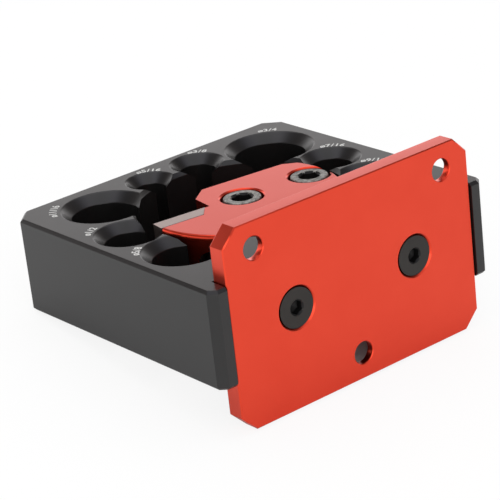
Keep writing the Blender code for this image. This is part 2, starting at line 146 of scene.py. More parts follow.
def mergeFaces(obj):
    # welds what a cut leaves behind and joins flat neighbours, so that edges can be broken evenly
    bm = bmesh.new()
    bm.from_mesh(obj.data)
    bmesh.ops.remove_doubles(bm, verts=bm.verts, dist=tiny)
    bmesh.ops.dissolve_limit(bm, angle_limit=radians(flatWithin), verts=bm.verts, edges=bm.edges)
    bm.to_mesh(obj.data)
    bm.free()


def breakEdges(obj, width, steps=2, sharperThan=35):
    # the small round that deburring and blasting leave on every sharp edge
    mergeFaces(obj)
    bevel = obj.modifiers.new("edges", "BEVEL")
    bevel.width = width
    bevel.segments = steps
    bevel.limit_method = "ANGLE"
    bevel.angle_limit = radians(sharperThan)
    return takeResult(obj)


def finish(obj, material, body, replaced=(), smoothUnder=30):
    obj.data.materials.clear()
    obj.data.materials.append(material)
    obj.data.shade_smooth()
    obj.data.set_sharp_from_angle(angle=radians(smoothUnder))
    flats = obj.modifiers.new("flats stay flat", "WEIGHTED_NORMAL")
    flats.mode = "FACE_AREA"
    flats.keep_sharp = True
    takeResult(obj)
    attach(obj, body)
    if replaced:
        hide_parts(*replaced)
    return obj


def paintFaces(obj, material, chosen):
    # a second material on some faces of a piece; the screws use it for the painted shade inside their
    # sockets
    obj.data.materials.append(material)
    for face in obj.data.polygons:
        if chosen(face.center):
            face.material_index = len(obj.data.materials) - 1


# Node helpers: one adds a node to any tree, the rest start and run trees

def addNode(tree, kind, settings=None, links=None):
    # links come from sockets; a whole node stands for its first output
    node = tree.nodes.new(kind)
    for key, value in (settings or {}).items():
        if isinstance(key, str) and hasattr(node, key):
            setattr(node, key, value)
        else:
            node.inputs[key].default_value = value
    for key, source in (links or {}).items():
        tree.links.new(source.outputs[0] if hasattr(source, "outputs") else source, node.inputs[key])
    return node


def startTree(name, sizes):
    tree = bpy.data.node_groups.new(name, "GeometryNodeTree")
    tree.is_modifier = True
    tree.interface.new_socket("Geometry", in_out="INPUT", socket_type="NodeSocketGeometry")
    for label, kind in sizes.items():
        tree.interface.new_socket(label, in_out="INPUT", socket_type="NodeSocket" + kind)
    tree.interface.new_socket("Geometry", in_out="OUTPUT", socket_type="NodeSocketGeometry")
    return tree, addNode(tree, "NodeGroupInput").outputs, addNode(tree, "NodeGroupOutput").inputs


def runTree(obj, tree, values):
    modifier = obj.modifiers.new(tree.name, "NODES")
    modifier.node_group = tree
    for socket in tree.interface.items_tree:
        if socket.in_out == "INPUT" and socket.name in values:
            modifier[socket.identifier] = values[socket.name]
    return takeResult(obj)


def linear(hexColour):
    # sRGB hex to the linear colour that shaders want
    values = [int(hexColour[i:i + 2], 16) / 255 for i in (1, 3, 5)]
    return tuple(v / 12.92 if v <= 0.04045 else ((v + 0.055) / 1.055) ** 2.4 for v in values) + (1.0,)


def startMaterial(name, values):
    material = bpy.data.materials.new(name)
    material.use_nodes = True
    shader = material.node_tree.nodes["Principled BSDF"]
    for key, value in values.items():
        shader.inputs[key].default_value = value
    return material, material.node_tree, shader.inputs


# Materials, each named for the real metal and how its surface was made, and a painted shade for hex sockets

def addGrain(tree, inputs, grainSize, depth, roughness, spread):
    # fine pits of a blasted surface: bump, and a little unevenness in the gloss, in clouds 9 mm wide
    cloudSize = 9 * mm
    place = addNode(tree, "ShaderNodeTexCoord").outputs["Object"]
    pits = addNode(tree, "ShaderNodeTexNoise", {"Scale": 1 / grainSize, "Detail": 2.0}, {"Vector": place})
    clouds = addNode(tree, "ShaderNodeTexNoise", {"Scale": 1 / cloudSize, "Detail": 3.0}, {"Vector": place})
    bump = addNode(tree, "ShaderNodeBump", {"Strength": 1.0, "Distance": depth},
                   {"Height": pits.outputs["Fac"]})
    gloss = addNode(tree, "ShaderNodeMapRange",
                    {"From Min": 0.3, "From Max": 0.7,
                     "To Min": roughness - spread, "To Max": roughness + spread},
                    {"Value": clouds.outputs["Fac"]})
    tree.links.new(bump.outputs["Normal"], inputs["Normal"])
    tree.links.new(gloss.outputs["Result"], inputs["Roughness"])
    return {"place": place, "clouds": clouds.outputs["Fac"]}


def addTone(tree, inputs, share, dark, light):
    # a colour that drifts between two tones
    tone = addNode(tree, "ShaderNodeMix", {"data_type": "RGBA", 6: linear(dark), 7: linear(light)},
                   {0: share})
    tree.links.new(tone.outputs[2], inputs["Base Color"])


def makeBlackAnodised():
    # 6061 aluminium, bead blasted, dyed black in a hard oxide: nearly no colour of its own,
    # but the sealed oxide gives a grey sheen at low angles. The grain is drawn at 0.3 mm to show.
    material, tree, inputs = startMaterial(
        "black anodised aluminium, bead blasted",
        {"Base Color": linear("#121111"), "Metallic": 0.0, "IOR": 1.47})
    grain = addGrain(tree, inputs, grainSize=0.3 * mm, depth=0.003 * mm, roughness=0.3, spread=0.015)
    addTone(tree, inputs, grain["clouds"], "#100f0f", "#171616")
    return material


def makeRedAnodised():
    # the same blasted aluminium under a clear red dye: the metal shines through, bright and saturated
    material, tree, inputs = startMaterial(
        "red anodised aluminium, bead blasted",
        {"Base Color": linear("#df3a1f"), "Metallic": 1.0, "Coat Weight": 0.35, "Coat Roughness": 0.28})
    grain = addGrain(tree, inputs, grainSize=0.3 * mm, depth=0.0025 * mm, roughness=0.3, spread=0.02)
    addTone(tree, inputs, grain["clouds"], "#d83a1f", "#de4126")
    return material


def makeBlackOxide():
    # alloy steel screws, blued black in a salt bath and oiled: dark, dull, a little brown
    material, tree, inputs = startMaterial(
        "black oxide steel, oiled", {"Base Color": linear("#353331"), "Metallic": 0.8})
    addGrain(tree, inputs, grainSize=0.4 * mm, depth=0.008 * mm, roughness=0.5, spread=0.06)
    return material


def makePhosphated():
    # zinc phosphate on alloy steel: fine grey crystals, rubbed lighter in blotches about 1 mm wide
    material, tree, inputs = startMaterial(
        "zinc phosphated steel", {"Base Color": linear("#8b8b87"), "Metallic": 0.75})
    grain = addGrain(tree, inputs, grainSize=0.45 * mm, depth=0.015 * mm, roughness=0.45, spread=0.08)
    blotchSize = 1.1 * mm
    blotches = addNode(tree, "ShaderNodeTexNoise",
                       {"Scale": 1 / blotchSize, "Detail": 4.0, "Roughness": 0.65},
                       {"Vector": grain["place"]})
    tone = addNode(tree, "ShaderNodeValToRGB", None, {"Fac": blotches.outputs["Fac"]})
    for stop, (position, colour) in zip(tone.color_ramp.elements, ((0.38, "#5d5c58"), (0.62, "#a3a29d"))):
        stop.position = position
        stop.color = linear(colour)
    tree.links.new(tone.outputs["Color"], inputs["Base Color"])
    return material


def makeSocketDark():
    # painted shade inside a broached hex socket: the shadow in the hollow, painted almost black on every
    # screw
    material, tree, inputs = startMaterial(
        "hex socket, painted shade", {"Base Color": linear("#0d0d0d"), "Specular IOR Level": 0.25})
    addGrain(tree, inputs, grainSize=0.4 * mm, depth=0.01 * mm, roughness=0.5, spread=0.05)
    return material


def makeToolSteel():
    # hardened tool steel, surface ground along its length: warm grey with fine parallel lines, drawn
    # 0.12 mm apart to show, and turned 7.6 degrees to follow the blade as it lies at rest
    lineLength, lineGap, lieTurn = 6 * mm, 0.12 * mm, radians(7.6)
    material, tree, inputs = startMaterial(
        "ground tool steel", {"Base Color": linear("#ac9c97"), "Metallic": 1.0, "Roughness": 0.32})
    place = addNode(tree, "ShaderNodeTexCoord").outputs["Object"]
    along = addNode(tree, "ShaderNodeMapping",
                    {"Rotation": (0, 0, lieTurn), "Scale": (1 / lineLength, 1 / lineGap, 1 / lineGap)},
                    {"Vector": place})
    lines = addNode(tree, "ShaderNodeTexNoise", {"Scale": 1.0, "Detail": 2.0},
                    {"Vector": along.outputs["Vector"]})
    bump = addNode(tree, "ShaderNodeBump", {"Strength": 0.6, "Distance": 0.008 * mm},
                   {"Height": lines.outputs["Fac"]})
    gloss = addNode(tree, "ShaderNodeMapRange", {"To Min": 0.24, "To Max": 0.42},
                    {"Value": lines.outputs["Fac"]})
    tree.links.new(bump.outputs["Normal"], inputs["Normal"])
    tree.links.new(gloss.outputs["Result"], inputs["Roughness"])
    return material


def makeLaserWhite():
    # sizes burnt into the black oxide by a laser: the bleached oxide is a chalky white with 0.25 mm specks
    speckSize = 0.25 * mm
    material, tree, inputs = startMaterial(
        "laser marked oxide, chalk white",
        {"Base Color": linear("#dcdcda"), "Metallic": 0.0, "Roughness": 0.8})
    place = addNode(tree, "ShaderNodeTexCoord").outputs["Object"]
    specks = addNode(tree, "ShaderNodeTexNoise", {"Scale": 1 / speckSize, "Detail": 2.0}, {"Vector": place})
    addTone(tree, inputs, specks.outputs["Fac"], "#b4b4b2", "#dededc")
    return material


blackAnodised = makeBlackAnodised()
redAnodised = makeRedAnodised()
blackOxide = makeBlackOxide()
phosphated = makePhosphated()
socketPaintedShade = makeSocketDark()
toolSteel = makeToolSteel()
laserWhite = makeLaserWhite()

print("materials are made")


# Guide block: the ring of flared bores is drawn by Geometry Nodes from the rule that every bore
# touches one circle about the pivot, then cut from the block together with the cavity

guideBlock = {
    "frontChamfer": 2.0 * mm,
    "rearChamfer": 4.3 * mm,
    "edgeChamfer": 0.75 * mm,
    "edgeRound": 0.08 * mm,
    "earWidth": 4.7 * mm,
    "notchGap": 0.3 * mm,
    "ringRadius": 26.6 * mm,
    # each bore: its diameter in sixteenths of an inch, its place round the pivot,
    # its label's place round it and how many millimetres outside the flare that stands
    "bores": (
        (9, -29.0, 44, 1.3), (7, 3.8, 45, 1.3), (12, 38.6, 52, 1.7), (6, 73.1, 51, 1.2),
        (5, 102.8, 56, 1.1), (11, 136.2, 140, 1.9), (8, 172.4, 121, 1.7), (10, 206.4, 133, 1.1),
    ),
    "boreSteps": 96,
    "exitChamfer": 0.4 * mm,
    "flareWidth": 2.57 * mm,
    "flareDepth": 2.35 * mm,
    "flareFootBelow": 0.2 * mm,
    "flareFootAbove": 0.05 * mm,
    "flareFootProud": 0.11 * mm,
    "lipWidth": 0.22 * mm,
    "lipShape": ((1.0, 0.0), (0.42, 0.8), (0.1, 1.75)),  # down and out, in lip widths
    "cavityRadius": 27.3 * mm,
    "cavityDepth": 16.5 * mm,
    "cavityChamfer": 1.0 * mm,
    "cavityFootRound": 0.3 * mm,
    "cavityRimRound": ((0.0, -0.12), (0.08, 0.04)),  # out and up from the chamfer's foot, in millimetres
    "cavitySteps": 192,
    "slotRadius": 20.5 * mm,
    "slotWidth": 6.6 * mm,
    "slotSteps": 96,
    "grooveWidth": 8.6 * mm,
    "grooveDepth": 5.3 * mm,
    "grooveReach": 1.0 * mm,
    "pivotHole": 6.6 * mm,
    "plateScrewHole": 5.6 * mm,
    "plateScrewRunout": 1.0 * mm,
    "drillTip": 0.2 * mm,
    "holeSteps": 48,
    "textHeight": 2.0 * mm,
    "digitShare": 0.73,  # how much of the font's size its digits stand
    "textSteps": 3,
    "textBold": 0.06 * mm,
    "textRise": 0.01 * mm,
    "letterWidth": 1.45 * mm,
    "slashWidth": 0.98 * mm,
    "over": 1.0 * mm,
    "overStart": 0.1 * mm,
    "overWidth": 0.55 * mm,
}


def blockBody(size):
    side, back, front = blockHigh.x, blockHigh.y, blockLow.y
    ear = side - size["earWidth"]
    notch = plateHigh.y + size["notchGap"]
    outline = [
        (side - size["frontChamfer"], front), (side, front + size["frontChamfer"]),
        (side, back - size["rearChamfer"]), (side - size["rearChamfer"], back),
        (-side + size["rearChamfer"], back), (-side, back - size["rearChamfer"]),
        (-side, front + size["frontChamfer"]), (-side + size["frontChamfer"], front),
        (-ear, front), (-ear, notch), (ear, notch), (ear, front),
    ]
    bm = prism(outline, blockLow.z, blockHigh.z)
    rim = [edge for edge in bm.edges
           if abs(edge.verts[0].co.z - edge.verts[1].co.z) < tiny
           and not all(abs(v.co.x) < ear + tiny and v.co.y < 0 for v in edge.verts)]
    bmesh.ops.bevel(bm, geom=rim, offset=size["edgeChamfer"], segments=1, affect="EDGES", profile=0.5)
    return breakEdges(addObject("guideBlock", bm), size["edgeRound"], sharperThan=20)


def boreCutter(size):
    # a unit bore: where its wall stands proud of the bore's radius is kept in the attribute "proud"
    top, bottom, over = blockHigh.z, blockLow.z, size["over"]
    lip = size["lipWidth"]
    lipFoot = size["flareWidth"] - lip * size["flareWidth"] / size["flareDepth"]
    widest = size["flareWidth"] + size["overWidth"]
    rings = [
        (bottom - over, size["exitChamfer"] + over),
        (bottom + size["exitChamfer"], 0.0),
        (top - size["flareDepth"] - size["flareFootBelow"], 0.0),
        (top - size["flareDepth"] + size["flareFootAbove"], size["flareFootProud"]),
    ]
    rings += [(top - lip * down, lipFoot + lip * out) for down, out in size["lipShape"]]
    rings += [(top + size["overStart"], widest), (top + over, widest)]
    bm = turned([(1.0, height) for height, proud in rings], size["boreSteps"])
    bm.verts.ensure_lookup_table()
    layer = bm.verts.layers.float.new("proud")
    for vert in bm.verts:
        vert[layer] = min(rings, key=lambda ring: abs(ring[0] - vert.co.z))[1]
    return addObject("boreCutter", bm)


def borePlan(size):
    # one point for each bore, with its radius and its place round the pivot
    mesh = bpy.data.meshes.new("borePlan")
    mesh.from_pydata([(0, 0, 0)] * len(size["bores"]), [], [])
    for label, values in (("boreRadius", [n * inch / 32 for n, place, turn, rise in size["bores"]]),
                          ("boreTurn", [radians(place) for n, place, turn, rise in size["bores"]])):
        mesh.attributes.new(label, "FLOAT", "POINT").data.foreach_set("value", values)
    plan = bpy.data.objects.new("borePlan", mesh)
    bpy.context.scene.collection.objects.link(plan)
    return plan


def boreRingTree():
    tree, given, result = startTree("ring of flared bores", {
        "Bore Plan": "Object", "Bore Cutter": "Object", "Cavity Cutter": "Object", "Ring Radius": "Float",
        "Pivot": "Vector", "Finish": "Material"})
    plan, cutter, cavity = [
        addNode(tree, "GeometryNodeObjectInfo", None, {"Object": given[name]}).outputs["Geometry"]
        for name in ("Bore Plan", "Bore Cutter", "Cavity Cutter")]
    radius, turn, proud, own = [
        addNode(tree, "GeometryNodeInputNamedAttribute",
                {"data_type": kind, "Name": name}).outputs["Attribute"]
        for name, kind in (("boreRadius", "FLOAT"), ("boreTurn", "FLOAT"), ("proud", "FLOAT"),
                           ("boreCentre", "FLOAT_VECTOR"))]

    # the rule: a bore's centre lies its own radius outside the ring
    reach = addNode(tree, "ShaderNodeMath", {"operation": "ADD"}, {0: given["Ring Radius"], 1: radius})
    across = addNode(tree, "ShaderNodeMath", {"operation": "COSINE"}, {0: turn})
    along = addNode(tree, "ShaderNodeMath", {"operation": "SINE"}, {0: turn})
    direction = addNode(tree, "ShaderNodeCombineXYZ", None, {"X": across, "Y": along})
    arm = addNode(tree, "ShaderNodeVectorMath", {"operation": "SCALE"}, {0: direction, "Scale": reach})
    centre = addNode(tree, "ShaderNodeVectorMath", {"operation": "ADD"}, {0: arm, 1: given["Pivot"]})
    placed = addNode(tree, "GeometryNodeSetPosition", None, {"Geometry": plan, "Position": centre})

    # each cutter is as wide as its bore; its flare keeps one width, so it is pushed out afterwards
    wide = addNode(tree, "ShaderNodeCombineXYZ", {"Z": 1.0}, {"X": radius, "Y": radius})
    copies = addNode(tree, "GeometryNodeInstanceOnPoints", None,
                     {"Points": placed, "Instance": cutter, "Scale": wide})
    middle = addNode(tree, "GeometryNodeInputPosition")
    kept = addNode(tree, "GeometryNodeStoreNamedAttribute",
                   {"data_type": "FLOAT_VECTOR", "domain": "INSTANCE", "Name": "boreCentre"},
                   {"Geometry": copies, "Value": middle})
    real = addNode(tree, "GeometryNodeRealizeInstances", None, {"Geometry": kept})
    here = addNode(tree, "GeometryNodeInputPosition")
    spoke = addNode(tree, "ShaderNodeVectorMath", {"operation": "SUBTRACT"}, {0: here, 1: own})
    flat = addNode(tree, "ShaderNodeVectorMath", {"operation": "MULTIPLY", 1: (1, 1, 0)}, {0: spoke})
    outward = addNode(tree, "ShaderNodeVectorMath", {"operation": "NORMALIZE"}, {0: flat})
    push = addNode(tree, "ShaderNodeVectorMath", {"operation": "SCALE"}, {0: outward, "Scale": proud})
    flared = addNode(tree, "GeometryNodeSetPosition", None, {"Geometry": real, "Offset": push})

    cut = addNode(tree, "GeometryNodeMeshBoolean",
                  {"operation": "DIFFERENCE", "solver": "EXACT", "Self Intersection": True},
                  {"Mesh 1": given["Geometry"]})
    tree.links.new(flared.outputs[0], cut.inputs["Mesh 2"])
    tree.links.new(cavity, cut.inputs["Mesh 2"])
    solid = addNode(tree, "GeometryNodeRealizeInstances", None, {"Geometry": cut.outputs["Mesh"]})
    painted = addNode(tree, "GeometryNodeSetMaterial", None,
                      {"Geometry": solid, "Material": given["Finish"]})
    tree.links.new(painted.outputs[0], result["Geometry"])
    return tree


def cavityCutter(size):
    top = blockHigh.z
    floor = top - size["cavityDepth"]
    radius, chamfer, over = size["cavityRadius"], size["cavityChamfer"], size["over"]
    foot = size["cavityFootRound"]
    profile = [(radius - foot, floor), (radius, floor + foot)]
    profile += [(radius + out * mm, top - chamfer + up * mm) for out, up in size["cavityRimRound"]]
    profile.append((radius + chamfer + over, top + over))
    return moved(turned(profile, size["cavitySteps"]), at(pivot.x, pivot.y))


def letterMesh(letter, size):
    curve = bpy.data.curves.new("letter", "FONT")
    curve.body = letter
    curve.align_x, curve.align_y = "CENTER", "CENTER"
    curve.size = size["textHeight"] / size["digitShare"]
    curve.offset = size["textBold"]
    curve.resolution_u = size["textSteps"]
    curve.extrude = size["textRise"]
    text = bpy.data.objects.new("letter", curve)
    bpy.context.scene.collection.objects.link(text)
    depsgraph = bpy.context.evaluated_depsgraph_get()
    mesh = bpy.data.meshes.new_from_object(text.evaluated_get(depsgraph))
    bpy.data.objects.remove(text)
    return mesh


def makeSizeLabels(size):
    # the dowel's size beside each bore, its letters set along the rim; the burnt oxide swells by a hair
    bm = bmesh.new()
    for n, place, turn, rise in size["bores"]:
        radius = n * inch / 32
        direction = Vector((cos(radians(place)), sin(radians(place)), 0))
        bore = pivot + (size["ringRadius"] + radius) * direction
        reach = radius + size["flareWidth"] + rise * mm
        letters = "\u00f8" + str(Fraction(n, 16))
        widths = [size["slashWidth"] if letter == "/" else size["letterWidth"] for letter in letters]
        before = -sum(widths) / 2
        for letter, width in zip(letters, widths):
            angle = radians(turn) - (before + width / 2) / reach
            before += width
            mesh = letterMesh(letter, size)
            mesh.transform(at(bore.x, bore.y, blockHigh.z) @ Matrix.Rotation(angle, 4, "Z")
                           @ at(reach, 0) @ Matrix.Rotation(radians(-90), 4, "Z"))
            bm.from_mesh(mesh)
            bpy.data.meshes.remove(mesh)
    return finish(addObject("sizeLabels", bm), laserWhite, "block")


def makeGuideBlock(size):
    block = blockBody(size)
    plan, cutter = borePlan(size), boreCutter(size)
    cavity = addObject("cavityCutter", cavityCutter(size))
    block = runTree(block, boreRingTree(), {
        "Bore Plan": plan, "Bore Cutter": cutter, "Cavity Cutter": cavity, "Ring Radius": size["ringRadius"],
        "Pivot": tuple(pivot), "Finish": blackAnodised})
    for tool in (plan, cutter, cavity):
        bpy.data.objects.remove(tool)

    # the index screw is opposite the blade, so its slot runs opposite the first and the last bore
    places = [place for n, place, turn, rise in size["bores"]]
    first, last = radians(min(places) - 180), radians(max(places) - 180)
    floor = blockHigh.z - size["cavityDepth"]
    ceiling = blockLow.z + size["grooveDepth"]
    over, steps = size["over"], size["holeSteps"]
    extra = size["grooveReach"] / size["slotRadius"]
    slot = slotOutline(size["slotRadius"], size["slotWidth"], first, last, size["slotSteps"])
    groove = slotOutline(size["slotRadius"], size["grooveWidth"], first - extra, last + extra,
                         size["slotSteps"])
    holeRadius = size["pivotHole"] / 2
    screwRadius = size["plateScrewHole"] / 2
    screwHoles = []
    for screw in ("plate_screw_left", "plate_screw_right"):
        low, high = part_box(screw)
        depth = high.y + size["plateScrewRunout"] - low.y
        hole = turned([(size["drillTip"], -depth - screwRadius / 2), (screwRadius, -depth),
                       (screwRadius, over)], steps)
        screwHoles.append(moved(hole, at((low.x + high.x) / 2, low.y, (low.z + high.z) / 2)
                                @ Matrix.Rotation(radians(90), 4, "X")))
    cutOut(block, screwHoles + [
        moved(prism(slot, ceiling - over, floor + over), at(pivot.x, pivot.y)),
        moved(prism(groove, blockLow.z - over, ceiling), at(pivot.x, pivot.y)),
        moved(turned([(holeRadius, blockLow.z - over), (holeRadius, floor + over)], steps),
              at(pivot.x, pivot.y)),
    ])
    finish(block, blackAnodised, "block", ["guide_block"])


makeGuideBlock(guideBlock)
makeSizeLabels(guideBlock)
print("the guide block and its ring of bores are cut")


# Mounting plate: red, a narrow chamfer in front and a round behind, open holes countersunk from behind

mountingPlate = {
    "corner": 4.3 * mm,
    "frontChamfer": 0.25 * mm,
    "edgeRound": 0.4 * mm,
    "holeFromEnd": 9.0 * mm,
    "holeFromEdge": 6.7 * mm,
    "hole": 5.8 * mm,
    "holeChamfer": 0.2 * mm,
    "holeStraight": 1.9 * mm,
    "screwFromEnd": 19.95 * mm,
    "screwHole": 5.6 * mm,
    "screwSeat": 11.5 * mm,
    "holeEdge": 0.05 * mm,
    "holeSteps": 72,
    "over": 1.0 * mm,
}


def makeMountingPlate(size):
    # drawn lying down with its front up, then stood up to face -Y
    side, end = plateHigh.x, (plateHigh.z - plateLow.z) / 2
    thick = plateHigh.y - plateLow.y
    corner, over = size["corner"], size["over"]
    outline = [(side - corner, -end), (side, -end + corner), (side, end - corner), (side - corner, end),
               (-side + corner, end), (-side, end - corner), (-side, -end + corner), (-side + corner, -end)]
    bm = prism(outline, -thick, 0)
    frontEdges = [edge for edge in bm.edges if all(abs(v.co.z) < tiny for v in edge.verts)]
    bmesh.ops.bevel(bm, geom=frontEdges, offset=size["frontChamfer"], segments=1, affect="EDGES",
                    profile=0.5)
    plate = breakEdges(addObject("mountingPlate", bm), size["edgeRound"], steps=3, sharperThan=50)

    hole, straight, chamfer = size["hole"] / 2, size["holeStraight"], size["holeChamfer"]
    openHole = [(hole + thick + over - straight, -thick - over), (hole, -straight), (hole, -chamfer),
                (hole + chamfer + over, over)]
    steps = size["holeSteps"]
    shank, seat = size["screwHole"] / 2, size["screwSeat"] / 2
    screwHole = [(shank, -thick - over), (shank, shank - seat), (seat + over, over)]
    holeX, row = side - size["holeFromEnd"], end - size["holeFromEdge"]
    screwX = side - size["screwFromEnd"]
    cutters = [moved(turned(openHole, steps), at(x, y)) for x, y in ((-holeX, row), (holeX, row), (0, -row))]
    cutters += [moved(turned(screwHole, steps), at(x, 0)) for x in (-screwX, screwX)]
    breakEdges(cutOut(plate, cutters), size["holeEdge"], steps=1)

    middle = Vector((0, plateLow.y, (plateLow.z + plateHigh.z) / 2))
    plate.data.transform(Matrix.Translation(middle) @ Matrix.Rotation(radians(90), 4, "X"))
    return finish(plate, redAnodised, "block", ["mounting_plate"])


makeMountingPlate(mountingPlate)
print("the mounting plate stands")


# Blade carrier, drawn in its own frame: u runs from the pivot to the index screw, z = 0 is its underside

restPlace = 172.4  # degrees: at rest the blade points at the 1/2 bore
restTurn = radians(restPlace - 180)
carrierFrame = at(pivot.x, pivot.y, carrierLow.z) @ Matrix.Rotation(restTurn, 4, "Z")
carrierHeight = carrierHigh.z - carrierLow.z

cutterBlade = {
    "tipCircle": 25.9 * mm,
    "length": 15.1 * mm,
    "thickness": 4.0 * mm,
    "height": 14.0 * mm,
    "face": 0.7 * mm,
    "endSlant": 2.8 * mm,
    "edgeRound": 0.06 * mm,
    "gap": 0.3 * mm,
    "endGap": 0.05 * mm,
    "screwFromTip": 6.8 * mm,
    "screwHole": 3.6 * mm,
    "holeSteps": 48,
    "over": 1.0 * mm,
}

bladeCarrier = {
    "radius": 26.0 * mm,
    "lowerRound": 0.2 * mm,
    # the upper rim's round: inward and down, in millimetres
    "rim": ((0, 1.2), (0.03, 0.9), (0.11, 0.52), (0.26, 0.24), (0.44, 0.08), (0.66, 0)),
    "rimSteps": 240,
    "back": 12.0 * mm,
    "side": 9.4 * mm,
    "sideChamfer": 4.7 * mm,
    "endRun": 4.5 * mm,
    "endDrop": 2.8 * mm,
    "edgeRound": 0.12 * mm,
    "screwHole": 6.6 * mm,
    "counterbore": 11.2 * mm,
    "counterboreChamfer": 0.4 * mm,
    "headDepth": 6.45 * mm,
    "holeSteps": 96,
    "indexRadius": 20.5 * mm,
    "clampHole": 3.6 * mm,
    "clampCounterbore": 6.1 * mm,
    "clampHead": 5.5 * mm,
    "clampHeadHeight": 3.0 * mm,
    "clampRecess": 0.5 * mm,
    "clampSeatGap": 0.3 * mm,
    "clampBehind": 22.0 * mm,
    "clampAhead": 12.0 * mm,
    "clampSteps": 48,
    "over": 2.0 * mm,
}

# the blade's rear corner touches the tip circle
bladeBack = cutterBlade["face"] - cutterBlade["thickness"]
cutterBlade["tip"] = -sqrt(cutterBlade["tipCircle"] ** 2 - bladeBack ** 2)


def carrierRim(size):
    # the turned disc; its upper rim is tumbled to a long, steepening round
    radius, soft = size["radius"], size["lowerRound"]
    rim = [(radius - inward * mm, carrierHeight - down * mm) for inward, down in size["rim"]]
    return turned([(radius - soft, 0), (radius, soft)] + rim, size["rimSteps"])


def carrierCutters(size, blade):
    outside = size["radius"] + size["over"]
    back, side, over = size["back"], size["side"], size["over"]
    ledge = blade["face"] - blade["gap"]
    endDrop = back - size["endDrop"]
    endReach = sqrt(size["radius"] ** 2 - endDrop ** 2)
    milledAway = [
        (-outside, ledge), (-side, ledge), (-side, back - size["sideChamfer"]),
        (-side + size["sideChamfer"], back), (endReach - size["endRun"], back),
        (endReach + size["endRun"], endDrop - size["endDrop"]),
        (endReach + size["endRun"], outside), (-outside, outside)]
    pocketBack = bladeBack - blade["gap"]
    pocketFront = blade["face"] + over
    slant = blade["endSlant"] / blade["thickness"]
    pocketEnd = blade["tip"] + blade["length"] + blade["endGap"]
    pocket = [(-outside, pocketBack), (pocketEnd - slant * (blade["face"] - pocketBack), pocketBack),
              (pocketEnd + slant * over, pocketFront), (-outside, pocketFront)]
    return [prism(milledAway, -over, carrierHeight + over),
            prism(pocket, carrierHeight - blade["height"] - blade["gap"], carrierHeight + over)]


def counterboreCutter(size):
    hole, wide, chamfer = size["screwHole"] / 2, size["counterbore"] / 2, size["counterboreChamfer"]
    over, seat = size["over"], carrierHeight - size["headDepth"]
    return turned([
        (hole, -over), (hole, seat), (wide, seat), (wide, carrierHeight - chamfer),
        (wide + chamfer + over, carrierHeight + over),
    ], size["holeSteps"])


def clampPlace(size, blade):
    # the clamp screw's head lies a little inside the round wall; its seat is where z = 0, its tip below
    along = blade["tip"] + blade["screwFromTip"]
    wall = -sqrt(size["radius"] ** 2 - (along - size["clampHead"] / 2) ** 2)
    seat = wall + size["clampRecess"] + size["clampHeadHeight"]
    return at(along, seat, carrierHeight - blade["height"] / 2) @ Matrix.Rotation(radians(90), 4, "X")


def makeBladeCarrier(size, blade):
    carrier = addObject("bladeCarrier", carrierRim(size))
    hole, wide, seat = size["clampHole"] / 2, size["clampCounterbore"] / 2, -size["clampSeatGap"]
    clampHole = turned([(hole, -size["clampBehind"]), (hole, seat), (wide, seat),
                        (wide, size["clampAhead"])], size["clampSteps"])
    cutOut(carrier, carrierCutters(size, blade) + [
        counterboreCutter(size), moved(counterboreCutter(size), at(size["indexRadius"], 0)),
        moved(clampHole, clampPlace(size, blade))])
    breakEdges(carrier, size["edgeRound"])
    carrier.data.transform(carrierFrame)
    return finish(carrier, redAnodised, "carrier", ["blade_carrier"])


def makeCutterBlade(blade):
    length, thickness, height, over = blade["length"], blade["thickness"], blade["height"], blade["over"]
    body = prism([(0, 0), (length - blade["endSlant"], 0), (length, thickness), (0, thickness)], 0, height)
    hole = blade["screwHole"] / 2
    drill = moved(turned([(hole, -over), (hole, thickness + over)], blade["holeSteps"]),
                  at(blade["screwFromTip"], thickness, height / 2) @ Matrix.Rotation(radians(90), 4, "X"))
    steel = breakEdges(cutOut(addObject("cutterBlade", body), [drill]), blade["edgeRound"], steps=1)
    steel.data.transform(carrierFrame @ at(blade["tip"], bladeBack, carrierHeight - height))
    return finish(steel, toolSteel, "carrier", ["cutter_blade"])


makeBladeCarrier(bladeCarrier, cutterBlade)
makeCutterBlade(cutterBlade)
print("the carrier holds its blade")


# Fasteners: turned with rounded rims and a broached hex socket; one rule draws the knurl and the thread

capScrew = {
    "diameter": 6.0 * mm,
    "pitch": 1.0 * mm,
    "threadLength": 14.0 * mm,
    "threadDepth": 0.6 * mm,
    "head": 10.0 * mm,
    "headHeight": 6.0 * mm,
    "headChamfer": 0.4 * mm,
    "hex": 5.0 * mm,
    "hexDepth": 3.0 * mm,
    "hexMouth": 0.16 * mm,
    "knurlRidges": 45,
    "knurlDepth": 0.22 * mm,
    "steps": 180,
}

plateScrew = {
    "diameter": 5.0 * mm,
    "pitch": 0.8 * mm,
    "threadLength": 8.0 * mm,
    "threadDepth": 0.5 * mm,
    "head": 10.3 * mm,
    "headRim": 0.2 * mm,
    "hex": 3.4 * mm,
    "hexDepth": 2.0 * mm,
    "hexMouth": 0.16 * mm,
    "steps": 96,
}

clampScrew = {
    "diameter": 3.0 * mm,
    "pitch": 0.5 * mm,
    "threadLength": 4.0 * mm,
    "threadDepth": 0.3 * mm,
    "head": 5.5 * mm,
    "headHeight": 3.0 * mm,
    "headChamfer": 0.2 * mm,
    "hex": 2.5 * mm,
    "hexDepth": 1.3 * mm,
    "hexMouth": 0.1 * mm,
    "tipShort": 0.5 * mm,
    "steps": 96,
}

